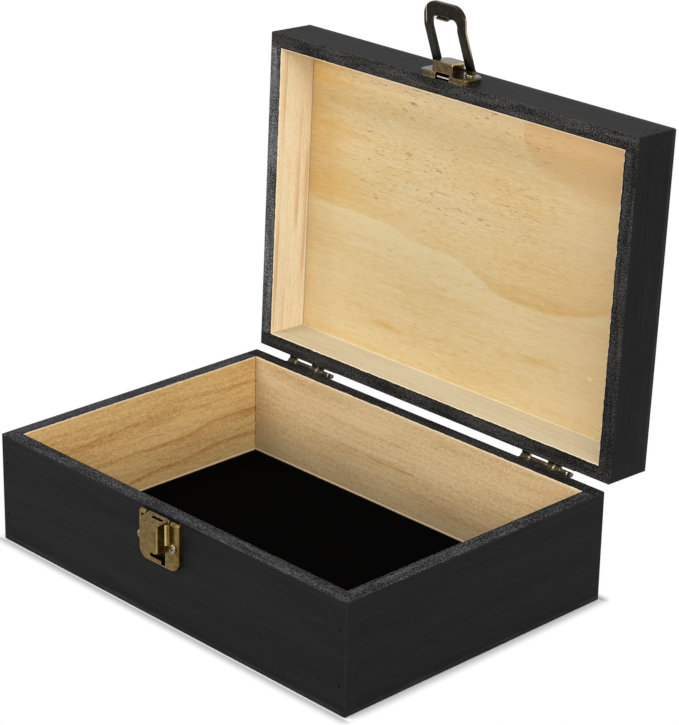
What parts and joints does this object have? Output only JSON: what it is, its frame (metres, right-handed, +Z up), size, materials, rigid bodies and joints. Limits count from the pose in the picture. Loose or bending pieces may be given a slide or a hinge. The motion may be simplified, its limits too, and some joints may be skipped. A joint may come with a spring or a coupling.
{
  "type": "hinged keepsake box",
  "caption": "Black-stained wooden keepsake box with a hinged lid, pale inside, dark velvet floor and an antique-brass toggle latch.",
  "frame": {"origin": "middle of the base's underside, which rests on a table", "axes": "+X along the box's front from left to right, +Y from the latch towards the hinges, +Z up; the rest pose has the lid open and the latch loop standing up from it"},
  "size_m": [0.254, 0.2229, 0.2783],
  "materials": {
    "stained_pine": "matte",
    "stained_plywood": "matte",
    "velvet": "matte",
    "antique_brass": "satin",
    "steel_pins": "satin"
  },
  "bodies": {
    "base": {"base_front_board": "stained_pine", "base_rear_board": "stained_pine", "base_left_board": "stained_pine", "base_right_board": "stained_pine", "base_bottom_panel": "stained_plywood", "velvet_lining": "velvet", "base_corner_pins": "steel_pins", "catch_plate": "antique_brass", "catch_screws": "antique_brass", "hinge_left_base_leaf": "antique_brass", "hinge_right_base_leaf": "antique_brass", "hinge_left_pin": "antique_brass", "hinge_right_pin": "antique_brass", "base_hinge_screws": "antique_brass"},
    "lid": {"lid_front_board": "stained_pine", "lid_rear_board": "stained_pine", "lid_left_board": "stained_pine", "lid_right_board": "stained_pine", "lid_top_panel": "stained_plywood", "lid_corner_pins": "steel_pins", "hinge_left_lid_leaf": "antique_brass", "hinge_right_lid_leaf": "antique_brass", "lid_hinge_screws": "antique_brass", "latch_bracket": "antique_brass", "latch_screws": "antique_brass", "latch_spring_plate": "antique_brass", "latch_pivot_pin": "antique_brass"},
    "latch_loop": {"latch_loop": "antique_brass"}
  },
  "joints": [
    {"name": "lid_hinge", "type": "hinge", "parent": "base", "child": "lid", "pos_m": [0, 0.09105, 0.05915], "axis": [-1, 0, 0], "range_deg": [-92.1, 0]},
    {"name": "latch_loop_pivot", "type": "hinge", "parent": "lid", "child": "latch_loop", "pos_m": [-0.0009, 0.10638, 0.24386], "axis": [1, 0, 0], "range_deg": [-113, 68.5]}
  ]
}
